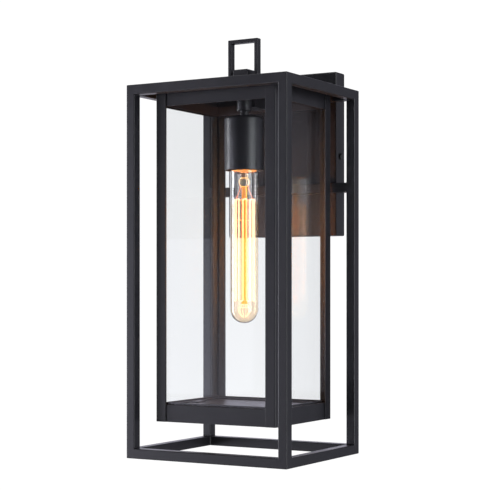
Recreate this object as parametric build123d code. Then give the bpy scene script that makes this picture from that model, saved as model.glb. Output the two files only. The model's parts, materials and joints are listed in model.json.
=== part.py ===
from build123d import *
import math
import os

# Outdoor wall lantern, millimetres.
# The wall is the plane Y = 0, +Y goes into the wall, +Z is up, and the origin is the
# centre of the bracket strap's back face.

# ---- driving dimensions ----
FRAME_WIDTH = 191.0
FRAME_DEPTH = 162.0
FRAME_HEIGHT = 390.0
FRAME_TOP = 66.0
BAR_X = 10.0
BAR_Y = 11.0
BAR_Z = 10.4
BAR_WALL = 1.2

PLATE_WIDTH = 136.0
PLATE_HEIGHT = 178.0
PLATE_DEPTH = 20.0
PLATE_WALL = 1.5
PLATE_EDGE = 1.2

BOX_WIDTH = 143.4
BOX_DEPTH = 121.6
BOX_BOTTOM = -286.0
SHEET = 1.2
FLANGE = 12.0
TOP_SKIRT_BOTTOM = 44.3
BOTTOM_SKIRT_TOP = -268.0

ROOF_THICK = 1.5
ROOF_TOP = FRAME_TOP - 0.5
GLASS_THICK = 2.4
GLASS_TOP = 56.0
SEAL_THICK = 1.3
SEAL_WIDTH = 6.5
RETAINER_THICK = 1.0

CUP_RADIUS = 20.75
CUP_TOP = 35.4
CUP_BOTTOM = -21.6
CUP_WALL = 1.2
CUP_ROUND = 3.0
STEM_RADIUS = 8.0
STEM_WALL = 1.5
STEM_BOTTOM = 41.5
NIPPLE_RADIUS = 4.75
NIPPLE_BORE = 3.0

BULB_RADIUS = 15.0
BULB_TIP = -183.3
BULB_WALL = 0.8
CAP_RADIUS = 13.15
CAP_BOTTOM = -8.5
CAP_TOP = 11.0
BULB_CONTACT_TOP = 16.0

BOX_SCREW_SPACING = 88.9
BOX_SLOT_LENGTH = 14.0
BOX_SLOT_WIDTH = 4.5
SIDE_SCREW_Z = -2.5
SIDE_SCREW_Y = -9.5
M4_SHANK = 1.95
M4_TAPPED = 2.0
M4_CLEAR = 2.2
GAP = 0.1

# ---- derived places ----
FRAME_BACK = -PLATE_DEPTH
FRAME_FRONT = FRAME_BACK - FRAME_DEPTH
FRAME_BOTTOM = FRAME_TOP - FRAME_HEIGHT
AXIS_Y = FRAME_BACK - FRAME_DEPTH / 2
HALF_X = FRAME_WIDTH / 2
INNER_X = HALF_X - BAR_X
INNER_FRONT = FRAME_FRONT + BAR_Y
INNER_BACK = FRAME_BACK - BAR_Y
ROOF_BOTTOM = ROOF_TOP - ROOF_THICK
BOX_X = BOX_WIDTH / 2
BOX_Y = BOX_DEPTH / 2
SKIRT_X = BOX_X - SHEET
SKIRT_Y = BOX_Y - SHEET
PANE_X = SKIRT_X - SEAL_THICK
PANE_Y = SKIRT_Y - SEAL_THICK
RING_X = PANE_X - GLASS_THICK - GAP
RING_Y = PANE_Y - GLASS_THICK - GAP
CROSSBAR_Z = -38.0
WIRE_Z = 60.2
WIRE_TUBE_RADIUS = 3.4
WIRE_TUBE_BORE = 2.85
LEAD_RADIUS = 0.8
LEAD_X = 1.9
SIDES = (("left", -1), ("right", 1))
CORNERS = (
    ("front_left", -1, -1),
    ("front_right", 1, -1),
    ("rear_left", -1, 1),
    ("rear_right", 1, 1),
)

os.makedirs("parts", exist_ok=True)


# ---- helpers ----
def block(x0, x1, y0, y1, z0, z1):
    """A box given by its limits."""
    middle = Pos((x0 + x1) / 2, (y0 + y1) / 2, (z0 + z1) / 2)
    return middle * Box(abs(x1 - x0), abs(y1 - y0), abs(z1 - z0))


def post(x, y, radius, z0, z1):
    """An upright round bar."""
    return Pos(x, y, (z0 + z1) / 2) * Cylinder(radius, abs(z1 - z0))


def bar_y(x, z, radius, y0, y1):
    """A round bar along Y."""
    return Pos(x, (y0 + y1) / 2, z) * Rot(90, 0, 0) * Cylinder(radius, abs(y1 - y0))


def bar_x(y, z, radius, x0, x1):
    """A round bar along X."""
    return Pos((x0 + x1) / 2, y, z) * Rot(0, 90, 0) * Cylinder(radius, abs(x1 - x0))


def turned(points, y=AXIS_Y):
    """A solid turned about the upright axis, from its (radius, z) outline."""
    face = make_face(Polyline(*[(r, 0, z) for r, z in points], close=True))
    return Pos(0, y, 0) * revolve(face, Axis.Z)


def ring(half_x, half_y, thick, z0, z1):
    """A rectangular band about the lantern's axis."""
    outer = block(-half_x, half_x, AXIS_Y - half_y, AXIS_Y + half_y, z0, z1)
    in_x, in_y = half_x - thick, half_y - thick
    return outer - block(-in_x, in_x, AXIS_Y - in_y, AXIS_Y + in_y, z0 - 1, z1 + 1)


def hexagon(x, y, across, z0, z1):
    """An upright hexagonal prism, as of a nut."""
    flat = RegularPolygon(across / 2, 6, major_radius=False)
    return Pos(x, y, z0) * extrude(flat, z1 - z0)


def save(name, *solids):
    """Writes one sub-part, of one or more separate solids."""
    shape = solids[0] if len(solids) == 1 else Compound(children=list(solids))
    export_step(shape, f"parts/{name}.step")


def only(shape):
    """The single solid of a shape."""
    return shape.solids()[0]


# ---- wall fixing ----
def wall_bracket():
    """Strap with slots for the junction box and an upturned ear at each end."""
    half, height, thick, ear = PLATE_WIDTH / 2 - PLATE_WALL - GAP, 12.5, 2.0, 17.0
    strap = block(-half, half, -thick, 0, -height, height)
    slot = SlotOverall(BOX_SLOT_LENGTH, BOX_SLOT_WIDTH)
    for _, side in SIDES:
        inner = side * (half - thick)
        strap += block(side * half, inner, -ear, 0, -height, height)
        cutter = extrude(Plane.XZ * slot, 4, both=True)
        strap -= Pos(side * BOX_SCREW_SPACING / 2, 0, 0) * cutter
        strap -= bar_x(SIDE_SCREW_Y, SIDE_SCREW_Z, M4_TAPPED, side * (half + 1), side * (half - 4))
    strap -= bar_y(0, 0, 5.25, -3, 1)
    strap -= bar_y(-22, 0, 2.4, -3, 1)
    save("wall_bracket", only(strap))
    head = bar_y(-22, 0, 4.5, -4.6, -2) - block(-30, -14, -5, -3.8, -0.5, 0.5)
    save("ground_screw", only(head + bar_y(-22, 0, 2.35, -2, 0)))


def wall_plate():
    """Folded pan, open towards the wall."""
    x, z = PLATE_WIDTH / 2, PLATE_HEIGHT / 2
    pan = block(-x, x, -PLATE_DEPTH, 0, -z, z)
    pan = fillet(pan.edges().filter_by(Axis.Y), PLATE_EDGE)
    pan = fillet(pan.faces().sort_by(Axis.Y)[0].edges(), PLATE_EDGE)
    in_x, in_z = x - PLATE_WALL, z - PLATE_WALL
    pan -= block(-in_x, in_x, -PLATE_DEPTH + PLATE_WALL, 1, -in_z, in_z)
    pan -= bar_y(0, WIRE_Z, WIRE_TUBE_RADIUS + GAP, -PLATE_DEPTH - 1, -PLATE_DEPTH + 3)
    for sx, sz in frame_screw_places():
        pan -= bar_y(sx, sz, M4_CLEAR, -PLATE_DEPTH - 1, -PLATE_DEPTH + 3)
    for _, side in SIDES:
        pan -= bar_x(SIDE_SCREW_Y, SIDE_SCREW_Z, M4_CLEAR, side * (x + 1), side * (x - 3))
    save("wall_plate", only(pan))


def plate_gasket():
    """Foam seal inside the pan's rim, in an upper and a lower run."""
    x, z = PLATE_WIDTH / 2 - PLATE_WALL - GAP, PLATE_HEIGHT / 2 - PLATE_WALL - GAP
    wide, deep, strap_gap = 4.0, 3.0, 14.0
    runs = []
    for side in (-1, 1):
        outer = block(-x, x, -deep, 0, side * strap_gap, side * z)
        inner = block(wide - x, x - wide, -deep - 1, 1, side * (strap_gap - 1), side * (z - wide))
        runs.append(only(outer - inner))
    save("plate_gasket", *runs)


def side_screws():
    """Round-headed screws that hold the plate on the bracket's ears."""
    face = PLATE_WIDTH / 2
    for name, side in SIDES:
        head = bar_x(SIDE_SCREW_Y, SIDE_SCREW_Z, 3.5, side * face, side * (face + 2.4))
        rim = head.faces().sort_by(Axis.X)[-1 if side > 0 else 0].edges()
        head = fillet(rim, 1.4)
        slot = block(side * (face + 1.4), side * (face + 3), -20, 0, SIDE_SCREW_Z - 0.5, SIDE_SCREW_Z + 0.5)
        shank = bar_x(SIDE_SCREW_Y, SIDE_SCREW_Z, M4_SHANK, side * (face - 9), side * face)
        save(f"side_screw_{name}", only(head - slot + shank))


def frame_screw_places():
    """The four screws from the pan into the rear top rail and the crossbar."""
    rail_z = FRAME_TOP - BAR_Z / 2
    return [(x, z) for x in (-40.0, 40.0) for z in (CROSSBAR_Z, rail_z)]


def frame_screws():
    inside = -PLATE_DEPTH + PLATE_WALL
    screws = []
    for x, z in frame_screw_places():
        head = bar_y(x, z, 3.5, inside, inside + 2.2)
        screws.append(only(head + bar_y(x, z, M4_SHANK, inside - 8, inside)))
    save("frame_screws", *screws)


def terminal_block():
    """Two-way block on the pan's inner face, entered from above by the leads."""
    inside, top = -PLATE_DEPTH + PLATE_WALL, 40.0
    body = block(-9, 9, inside, inside + 10, top - 18, top)
    for x in (-4.5, 4.5):
        for z in (top - 4, top - 14):
            body -= bar_y(x, z, 1.8, inside + 5, inside + 11)
    save("terminal_block", only(body))


# ---- outer frame ----
def tube(x0, x1, y0, y1, z0, z1, along):
    """A rectangular tube, open at the two ends along one axis."""
    trim = {a: (-1.0 if a == along else BAR_WALL) for a in "xyz"}
    core = block(
        x0 + trim["x"], x1 - trim["x"], y0 + trim["y"], y1 - trim["y"], z0 + trim["z"], z1 - trim["z"]
    )
    return block(x0, x1, y0, y1, z0, z1) - core


def outer_frame():
    caps = []
    for name, sx, sy in CORNERS:
        x0, x1 = sorted((sx * HALF_X, sx * INNER_X))
        y0, y1 = (FRAME_FRONT, INNER_FRONT) if sy < 0 else (INNER_BACK, FRAME_BACK)
        save(f"post_{name}", only(tube(x0, x1, y0, y1, FRAME_BOTTOM, FRAME_TOP, "z")))
        for z in (FRAME_BOTTOM, FRAME_TOP - BAR_WALL):
            w = BAR_WALL
            caps.append(block(x0 + w, x1 - w, y0 + w, y1 - w, z, z + w))
    save("post_end_caps", *caps)
    for level, z0 in (("top", FRAME_TOP - BAR_Z), ("bottom", FRAME_BOTTOM)):
        z1 = z0 + BAR_Z
        save(f"{level}_rail_front", only(tube(-INNER_X, INNER_X, FRAME_FRONT, INNER_FRONT, z0, z1, "x")))
        rear = tube(-INNER_X, INNER_X, INNER_BACK, FRAME_BACK, z0, z1, "x")
        if level == "top":
            rear -= bar_y(0, WIRE_Z, WIRE_TUBE_RADIUS + GAP, INNER_BACK - 1, FRAME_BACK + 1)
            rear = with_screw_holes(rear, z0 + BAR_Z / 2)
        save(f"{level}_rail_rear", only(rear))
        for name, side in SIDES:
            x0, x1 = sorted((side * HALF_X, side * INNER_X))
            save(f"{level}_rail_{name}", only(tube(x0, x1, INNER_FRONT, INNER_BACK, z0, z1, "y")))
    z0 = CROSSBAR_Z - BAR_Z / 2
    crossbar = tube(-INNER_X, INNER_X, INNER_BACK, FRAME_BACK, z0, z0 + BAR_Z, "x")
    save("rear_crossbar", only(with_screw_holes(crossbar, CROSSBAR_Z)))


def with_screw_holes(rail, z):
    """Tapped holes in a rear rail's back wall."""
    for x in (-40.0, 40.0):
        rail -= bar_y(x, z, M4_TAPPED, FRAME_BACK - 2, FRAME_BACK + 1)
    return rail


def roof():
    plate = block(-INNER_X, INNER_X, INNER_FRONT, INNER_BACK, ROOF_BOTTOM, ROOF_TOP)
    save("roof_plate", only(plate - post(0, AXIS_Y, 2.75, ROOF_BOTTOM - 1, ROOF_TOP + 1)))


def finial():
    """Upright rectangular loop held under a square block by one screw from below."""
    width, top, leg_x, leg_y, leg_z, side = 36.0, 117.3, 4.0, 7.5, 4.0, 17.4
    block_top = 84.8
    y0, y1 = AXIS_Y - leg_y / 2, AXIS_Y + leg_y / 2
    loop = block(-width / 2, width / 2, y0, y1, ROOF_TOP, top)
    hole = block(leg_x - width / 2, width / 2 - leg_x, y0 - 1, y1 + 1, ROOF_TOP + leg_z, top - leg_z)
    loop = fillet((loop - hole).edges(), 0.45)
    save("finial_loop", only(loop - post(0, AXIS_Y, 2.75, ROOF_TOP - 1, ROOF_TOP + leg_z + 1)))
    base = block(-side / 2, side / 2, AXIS_Y - side / 2, AXIS_Y + side / 2, ROOF_TOP, block_top)
    base = chamfer(base.faces().sort_by(Axis.Z)[-1].edges(), 0.8)
    base = fillet(base.edges().filter_by(Axis.Z), 0.6)
    base -= block(-side, side, y0 - GAP, y1 + GAP, ROOF_TOP - 1, ROOF_TOP + leg_z + GAP)
    base -= post(0, AXIS_Y, 2.55, ROOF_TOP, block_top - 5)
    save("finial_block", only(base))
    screw = post(0, AXIS_Y, 2.5, ROOF_BOTTOM, block_top - 7)
    save("finial_screw", only(screw + post(0, AXIS_Y, 4.5, ROOF_BOTTOM - 2.6, ROOF_BOTTOM)))


# ---- glazed box ----
def corner_angles():
    """Bent corner angles, from the box's foot to the roof."""
    for name, sx, sy in CORNERS:
        x, y = sx * BOX_X, AXIS_Y + sy * BOX_Y
        angle = block(x, x - sx * FLANGE, y, y - sy * FLANGE, BOX_BOTTOM, ROOF_BOTTOM)
        bend = angle.edges().filter_by(Axis.Z).sort_by_distance((x, y, 0))[0]
        angle = fillet(bend, 1.4)
        inside_x, inside_y = x - sx * SHEET, y - sy * SHEET
        far_x, far_y = x - sx * (FLANGE + 1), y - sy * (FLANGE + 1)
        angle -= block(inside_x, far_x, inside_y, far_y, BOX_BOTTOM - 1, ROOF_BOTTOM + 1)
        save(f"corner_angle_{name}", only(angle))


def thumb_screw_tab(side):
    """The tapped tab that reaches in from the bottom skirt's flange."""
    return block(side * 53, side * 66, AXIS_Y - 8, AXIS_Y + 8, BOTTOM_SKIRT_TOP - SHEET, BOTTOM_SKIRT_TOP)


def skirts():
    top = ring(SKIRT_X, SKIRT_Y, SHEET, TOP_SKIRT_BOTTOM, ROOF_BOTTOM)
    back = AXIS_Y + SKIRT_Y
    top -= bar_y(0, WIRE_Z, WIRE_TUBE_RADIUS + GAP, back - 3, back + 1)
    save("top_skirt", only(top))
    flange = 8.0
    bottom = ring(SKIRT_X, SKIRT_Y, SHEET, BOX_BOTTOM, BOTTOM_SKIRT_TOP)
    bottom += ring(SKIRT_X, SKIRT_Y, SHEET + flange, BOTTOM_SKIRT_TOP - SHEET, BOTTOM_SKIRT_TOP)
    for _, side in SIDES:
        bottom += thumb_screw_tab(side)
        bottom -= post(side * 60, AXIS_Y, M4_TAPPED, BOTTOM_SKIRT_TOP - 3, BOTTOM_SKIRT_TOP + 1)
    save("bottom_skirt", only(bottom))


def glazing():
    """Four panes, their foam strips and the two retaining rings."""
    z0, z1 = BOTTOM_SKIRT_TOP, GLASS_TOP
    in_x = RING_X
    strips = []
    for name, sy in (("front", -1), ("rear", 1)):
        face = AXIS_Y + sy * PANE_Y
        save(f"glass_{name}", block(-in_x, in_x, face, face - sy * GLASS_THICK, z0, z1))
        for side in (-1, 1):
            x0 = side * in_x
            x1 = side * (in_x - SEAL_WIDTH)
            strips.append(block(x0, x1, face, face + sy * SEAL_THICK, z0, TOP_SKIRT_BOTTOM))
    for name, side in SIDES:
        face = side * PANE_X
        y0, y1 = AXIS_Y - PANE_Y, AXIS_Y + PANE_Y
        save(f"glass_{name}", block(face, face - side * GLASS_THICK, y0, y1, z0, z1))
        for y, reach in ((y0, SEAL_WIDTH + 2), (y1, -SEAL_WIDTH - 2)):
            strips.append(block(face, face + side * SEAL_THICK, y, y + reach, z0, TOP_SKIRT_BOTTOM))
    save("glass_seals", *strips)
    upper = ring(RING_X, RING_Y, RETAINER_THICK, GLASS_TOP - 10, GLASS_TOP)
    lower = ring(RING_X, RING_Y, RETAINER_THICK, z0, z0 + 2)
    save("glass_retainers", only(upper), only(lower))


def floor_panel():
    """Drop-out floor with turned-down edges, closed up against the skirt's flange."""
    side_gap, lip = 0.3, 6.0
    x, y = SKIRT_X - SHEET - side_gap, SKIRT_Y - SHEET - side_gap
    top = BOTTOM_SKIRT_TOP - SHEET - GAP
    panel = block(-x, x, AXIS_Y - y, AXIS_Y + y, top - SHEET, top)
    panel += ring(x, y, SHEET, top - lip, top)
    for _, side in SIDES:
        panel -= post(side * 60, AXIS_Y, M4_CLEAR, top - 3, top + 1)
    save("floor_panel", only(panel))
    head_top = top - SHEET - GAP
    for name, side in SIDES:
        head = post(side * 60, AXIS_Y, 6, head_top - 8, head_top)
        head = chamfer(head.edges().filter_by(GeomType.CIRCLE), 0.6)
        shank = post(side * 60, AXIS_Y, M4_SHANK, head_top, BOTTOM_SKIRT_TOP)
        save(f"thumb_screw_{name}", only(head + shank))


# ---- wiring and lampholder ----
def stem():
    """Stem under the roof, its wire channel, and the hollow nipple that carries the cup."""
    collar = post(0, AXIS_Y, STEM_RADIUS, STEM_BOTTOM, ROOF_BOTTOM)
    collar = chamfer(collar.faces().sort_by(Axis.Z)[0].edges(), 0.6)
    collar -= post(0, AXIS_Y, STEM_RADIUS - STEM_WALL, STEM_BOTTOM + 4, ROOF_BOTTOM + 1)
    collar -= post(0, AXIS_Y, NIPPLE_RADIUS + 0.05, STEM_BOTTOM - 1, STEM_BOTTOM + 5)
    collar -= bar_y(0, WIRE_Z, WIRE_TUBE_BORE + 0.4, AXIS_Y + 5, AXIS_Y + 9)
    save("stem_collar", only(collar))
    back, front, bottom = AXIS_Y + RING_Y - RETAINER_THICK - 0.4, AXIS_Y + STEM_RADIUS + GAP, 46.4
    channel = block(-STEM_RADIUS, STEM_RADIUS, front, back, bottom, ROOF_BOTTOM)
    core = STEM_RADIUS - SHEET
    channel -= block(-core, core, front - 1, back + 1, bottom + SHEET, ROOF_BOTTOM + 1)
    save("wire_channel", only(channel))
    inside = -PLATE_DEPTH + PLATE_WALL
    sleeve = bar_y(0, WIRE_Z, WIRE_TUBE_RADIUS, back - 1, inside) + bar_y(0, WIRE_Z, 6, inside, inside + 1.2)
    save("wire_tube", only(sleeve - bar_y(0, WIRE_Z, WIRE_TUBE_BORE, back - 2, inside + 2)))
    nipple = post(0, AXIS_Y, NIPPLE_RADIUS, 26.0, STEM_BOTTOM + 5.5)
    save("threaded_nipple", only(nipple - post(0, AXIS_Y, NIPPLE_BORE, 25, STEM_BOTTOM + 7)))


def lampholder():
    """Cup, its lock nut, and the porcelain lampholder that hangs from the nipple."""
    outer = post(0, AXIS_Y, CUP_RADIUS, CUP_BOTTOM, CUP_TOP)
    outer = fillet(outer.faces().sort_by(Axis.Z)[-1].edges(), CUP_ROUND)
    ceiling = CUP_TOP - CUP_WALL
    core = post(0, AXIS_Y, CUP_RADIUS - CUP_WALL, CUP_BOTTOM - 1, ceiling)
    core = fillet(core.faces().sort_by(Axis.Z)[-1].edges(), CUP_ROUND - CUP_WALL)
    save("socket_cup", only(outer - core - post(0, AXIS_Y, NIPPLE_RADIUS + 0.05, ceiling - 1, CUP_TOP + 1)))
    nut = hexagon(0, AXIS_Y, 14, ceiling - 3.6, ceiling)
    save("lock_nut", only(nut - post(0, AXIS_Y, NIPPLE_RADIUS + 0.05, ceiling - 5, ceiling + 1)))
    hub_top, plate_top, body_top = ceiling - 3.8, 27.2, 26.0
    hickey = post(0, AXIS_Y, 16.5, body_top, plate_top) + post(0, AXIS_Y, 7, plate_top, hub_top)
    hickey -= post(0, AXIS_Y, NIPPLE_RADIUS + 0.05, body_top - 1, hub_top + 1)
    body = turned([(0, 18), (14, 18), (14, -12), (17.5, -12), (17.5, 26), (6, 26), (6, 20), (0, 20)])
    screws = []
    for _, side in SIDES:
        x = side * 9.5
        hickey -= post(x, AXIS_Y, 1.55, body_top - 1, plate_top + 1)
        body -= post(x, AXIS_Y, 1.7, 17, 27)
        body -= post(side * LEAD_X, AXIS_Y, LEAD_RADIUS + 0.2, 17, 21)
        screws.append(only(post(x, AXIS_Y, 1.5, 18, plate_top) + post(x, AXIS_Y, 2.4, 16.4, 18)))
    save("socket_hickey", only(hickey))
    save("socket_screws", *screws)
    save("socket_body", only(body))
    shell = turned([(13.45, -8), (13.9, -8), (13.9, 15.4), (13.45, 15.4)])
    shell += block(13.3, 13.9, AXIS_Y - 2, AXIS_Y + 2, 15, 18)
    shell += block(1.3, 6.6, AXIS_Y - 2, AXIS_Y + 2, 17.4, 18)
    for side in (-1, 1):
        shell += block(1.3, 13.9, AXIS_Y + side * 2, AXIS_Y + side * 4, 17.4, 18)
    shell += block(12.3, 13.9, AXIS_Y - 4, AXIS_Y + 4, 17.4, 18)
    shell -= post(9.5, AXIS_Y, 2.5, 16, 19)
    save("socket_shell", only(shell & post(0, AXIS_Y, 13.9, -9, 19)))
    contact = block(-6.6, 1, AXIS_Y - 2.5, AXIS_Y + 2.5, 17.4, 18)
    contact += post(0, AXIS_Y, 1.0, 16.3, 17.4)
    save("socket_contact", only(contact))


def socket_leads():
    """Two leads from the terminal block, through the roof space, down to the lampholder."""
    wires, drop_y, bends = [], -12.0, [5.5, 7.5]
    for _, side in SIDES:
        x = side * LEAD_X
        corners = ((x, drop_y, 40), (x, drop_y, WIRE_Z), (x, AXIS_Y, WIRE_Z), (x, AXIS_Y, 18))
        path = FilletPolyline(*corners, radius=bends)
        wire = sweep(Plane(origin=path @ 0, z_dir=path % 0) * Circle(LEAD_RADIUS), path=path)
        share = wire.volume / (math.pi * LEAD_RADIUS**2 * path.length)
        print("lead: bend radii", bends, "length", round(path.length, 1), "volume share", round(share, 3))
        wires.append(only(wire))
    save("socket_leads", *wires)


# ---- tubular lamp ----
def bulb_glass():
    """Clear tube with a round end and a neck that enters the cap."""
    def outline(shrink):
        radius, tip = BULB_RADIUS - shrink, BULB_TIP + shrink
        shoulder, neck = CUP_BOTTOM + 2.6, 12.2 - shrink
        end = CenterArc((0, BULB_TIP + BULB_RADIUS), radius, -90, 90)
        wall = Line(end @ 1, (radius, shoulder))
        slope = Spline((radius, shoulder), (neck, CAP_BOTTOM - 0.5), tangents=((0, 1), (0, 1)))
        top = Polyline((neck, CAP_BOTTOM - 0.5), (neck, 2), (0, 2), (0, tip))
        return Plane.XZ * make_face(end + wall + slope + top)

    outer = revolve(outline(0), Axis.Z)
    inner = revolve(outline(BULB_WALL), Axis.Z)
    core = inner - Pos(0, 0, 3) * Box(60, 60, 2.0)
    glass = outer - core
    save("bulb_glass", only(Pos(0, AXIS_Y, 0) * (glass - Cylinder(12.2 - BULB_WALL, 20))))


def bulb_cap():
    inner = CAP_RADIUS - 0.7
    cap = turned([(inner, CAP_BOTTOM), (CAP_RADIUS, CAP_BOTTOM), (CAP_RADIUS, CAP_TOP - 1),
                  (CAP_RADIUS - 1.5, CAP_TOP), (6, CAP_TOP), (6, CAP_TOP - 0.7), (inner - 1.2, CAP_TOP - 0.7),
                  (inner, CAP_TOP - 1.6)])
    save("bulb_cap", only(cap))
    save("bulb_insulator", only(turned([(0, CAP_TOP), (11, CAP_TOP), (6, CAP_TOP + 3.6), (0, CAP_TOP + 3.6)])))
    tip = turned([(0, CAP_TOP + 3.6), (4.6, CAP_TOP + 3.6), (3.4, BULB_CONTACT_TOP), (0, BULB_CONTACT_TOP)])
    save("bulb_contact", only(tip))


def bulb_inside():
    """Stem with its heat shield, pressed foot and rod, the support wires, and the upright cage."""
    shield, shield_top, shield_bottom = 13.4, CUP_BOTTOM + 0.3, CUP_BOTTOM - 0.3
    flare_top, foot_top, foot_bottom, rod_bottom = 1.8, -29.0, -39.0, -163.0
    rod = 2.9
    stem_shape = turned([(0, flare_top), (11.2, flare_top), (11.2, 0.6), (4.4, -8), (4.3, shield_top),
                         (shield, shield_top), (shield, shield_bottom), (4.2, shield_bottom), (4.0, foot_top),
                         (5.8, foot_top - 3.5), (5.6, foot_bottom + 2.5), (3.2, foot_bottom),
                         (rod, foot_bottom - 1), (rod, rod_bottom), (0, rod_bottom)])
    save("bulb_stem", only(stem_shape))
    cage, cage_top, cage_bottom, strands = 10.8, -52.0, -160.0, 8
    strand, wire, levels = 0.35, 0.2, 6
    hub = rod + 0.5
    reach = cage - strand - 0.05
    spiders, rods = [], []
    for level in range(levels):
        z = cage_top - 1 + (cage_bottom - cage_top + 2) * level / (levels - 1)
        spider = Pos(0, AXIS_Y, z) * (Cylinder(hub, 1.0) - Cylinder(rod + 0.05, 2))
        for i in range(strands):
            turn = Pos(0, AXIS_Y, z) * Rot(0, 0, 360 * i / strands)
            inner = hub - 0.2
            spider += turn * Pos((inner + reach) / 2, 0, 0) * Rot(0, 90, 0) * Cylinder(wire, reach - inner)
        spiders.append(only(spider))
    save("bulb_support_wires", *spiders)
    for i in range(strands):
        angle = math.radians(360 * i / strands)
        x, y = cage * math.cos(angle), AXIS_Y + cage * math.sin(angle)
        rods.append(only(post(x, y, strand, cage_bottom, cage_top)))
    save("bulb_filament", *rods)


wall_bracket()
wall_plate()
plate_gasket()
side_screws()
frame_screws()
terminal_block()
outer_frame()
roof()
finial()
corner_angles()
skirts()
glazing()
floor_panel()
stem()
lampholder()
socket_leads()
bulb_glass()
bulb_cap()
bulb_inside()
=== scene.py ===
import json
import math

import bmesh
import bpy
from mathutils import Matrix, Vector

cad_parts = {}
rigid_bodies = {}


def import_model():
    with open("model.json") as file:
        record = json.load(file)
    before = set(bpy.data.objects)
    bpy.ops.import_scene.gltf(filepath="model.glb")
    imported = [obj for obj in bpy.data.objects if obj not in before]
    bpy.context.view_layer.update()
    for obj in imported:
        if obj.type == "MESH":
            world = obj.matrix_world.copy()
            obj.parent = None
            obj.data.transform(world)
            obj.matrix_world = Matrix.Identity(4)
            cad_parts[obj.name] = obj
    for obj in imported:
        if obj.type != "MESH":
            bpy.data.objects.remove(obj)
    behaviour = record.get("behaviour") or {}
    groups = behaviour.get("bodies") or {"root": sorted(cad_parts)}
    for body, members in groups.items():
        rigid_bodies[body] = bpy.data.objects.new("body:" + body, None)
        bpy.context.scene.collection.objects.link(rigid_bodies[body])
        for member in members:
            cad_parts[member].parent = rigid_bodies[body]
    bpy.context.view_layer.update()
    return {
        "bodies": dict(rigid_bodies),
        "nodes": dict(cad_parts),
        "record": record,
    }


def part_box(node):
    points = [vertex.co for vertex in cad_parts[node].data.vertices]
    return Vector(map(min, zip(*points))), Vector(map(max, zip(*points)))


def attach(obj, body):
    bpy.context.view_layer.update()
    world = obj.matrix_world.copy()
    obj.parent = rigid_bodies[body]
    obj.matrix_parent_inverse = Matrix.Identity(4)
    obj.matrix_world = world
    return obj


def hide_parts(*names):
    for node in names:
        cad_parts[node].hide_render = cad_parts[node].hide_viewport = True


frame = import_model()

# Outdoor wall lantern, metres. The wall is Y = 0, +Z is up, and the lamp hangs on AXIS_Y.
# Places and main sizes come from the boxes of the CAD nodes. Thicknesses, bends and the lamp's
# inner outlines are named values here.
AXIS_Y = (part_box("socket_cup")[0].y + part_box("socket_cup")[1].y) / 2
SHEET = 0.0012
WIRE_HOLE_RADIUS = 0.0035
# How far a cutter reaches past what it cuts.
PAST = 0.001
SAME_PLACE = 1e-7
NEARLY = 0.00001
CORNERS = (
    ("front_left", -1, -1),
    ("front_right", 1, -1),
    ("rear_left", -1, 1),
    ("rear_right", 1, 1),
)


# ---- materials ----
# Noise seldom leaves NOISE_SPAN, and a colour ramp runs between RAMP_ENDS.
NOISE_SPAN = (0.3, 0.7)
RAMP_ENDS = (0.32, 0.68)
# Glass mirrors GLASS_FACING of the light that meets it straight on, and more at a slant by Schlick's law.
GLASS_FACING = 0.04
SCHLICK_POWER = 5.0
GLASS_IOR = 1.47


class Nodes:
    """The node tree of a material or a world, with short calls to add to it."""

    def __init__(self, owner, output="ShaderNodeOutputMaterial"):
        self.owner = owner
        self.owner.use_nodes = True
        self.tree = self.owner.node_tree
        self.tree.nodes.clear()
        self.output = self.add(output)
        self.coordinates = self.add("ShaderNodeTexCoord").outputs
        self.where = self.coordinates["Object"]

    def add(self, kind, **values):
        node = self.tree.nodes.new(kind)
        for key, value in values.items():
            setattr(node, key, value)
        return node

    def link(self, source, target):
        self.tree.links.new(source, target)

    def noise(self, scale, detail=3.0, stretch=None):
        """Wandering values over the object, which stretch squeezes along each axis."""
        texture = self.add("ShaderNodeTexNoise")
        texture.inputs["Scale"].default_value = scale
        texture.inputs["Detail"].default_value = detail
        place = self.where
        if stretch:
            mapping = self.add("ShaderNodeMapping")
            mapping.inputs["Scale"].default_value = stretch
            self.link(self.where, mapping.inputs["Vector"])
            place = mapping.outputs["Vector"]
        self.link(place, texture.inputs["Vector"])
        return texture.outputs["Fac"]

    def ramp(self, value, colours):
        """A colour between two, by value."""
        ramp = self.add("ShaderNodeValToRGB")
        for element, colour, position in zip(ramp.color_ramp.elements, colours, RAMP_ENDS):
            element.color = (*colour, 1)
            element.position = position
        self.link(value, ramp.inputs["Fac"])
        return ramp.outputs["Color"]

    def span(self, value, low, high):
        """Noise made to run from low to high."""
        node = self.add("ShaderNodeMapRange")
        node.inputs["From Min"].default_value, node.inputs["From Max"].default_value = NOISE_SPAN
        node.inputs["To Min"].default_value = low
        node.inputs["To Max"].default_value = high
        self.link(value, node.inputs["Value"])
        return node.outputs["Result"]

    def bump(self, value, strength, distance):
        """Normals of a surface whose height follows value."""
        node = self.add("ShaderNodeBump")
        node.inputs["Strength"].default_value = strength
        node.inputs["Distance"].default_value = distance
        self.link(value, node.inputs["Height"])
        return node.outputs["Normal"]


def surface(name, colours, rough, patch, grain, bump, stretch=None, **fixed):
    """A shaded surface: colour and roughness that wander in patches, and a fine grain.

    patch and grain are noise scales, bump is a strength and a height, and stretch squeezes
    the noise along each axis. Anything else is set on the shader's own socket.
    """
    n = Nodes(bpy.data.materials.new(name))
    shader = n.add("ShaderNodeBsdfPrincipled")
    n.link(n.ramp(n.noise(patch), colours), shader.inputs["Base Color"])
    n.link(n.span(n.noise(patch * 2.7, 4.0, stretch), *rough), shader.inputs["Roughness"])
    n.link(n.bump(n.noise(grain, 2.0, stretch), *bump), shader.inputs["Normal"])
    for key, value in fixed.items():
        shader.inputs[key.replace("_", " ")].default_value = value
    n.link(shader.outputs["BSDF"], n.output.inputs["Surface"])
    return n.owner


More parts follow.
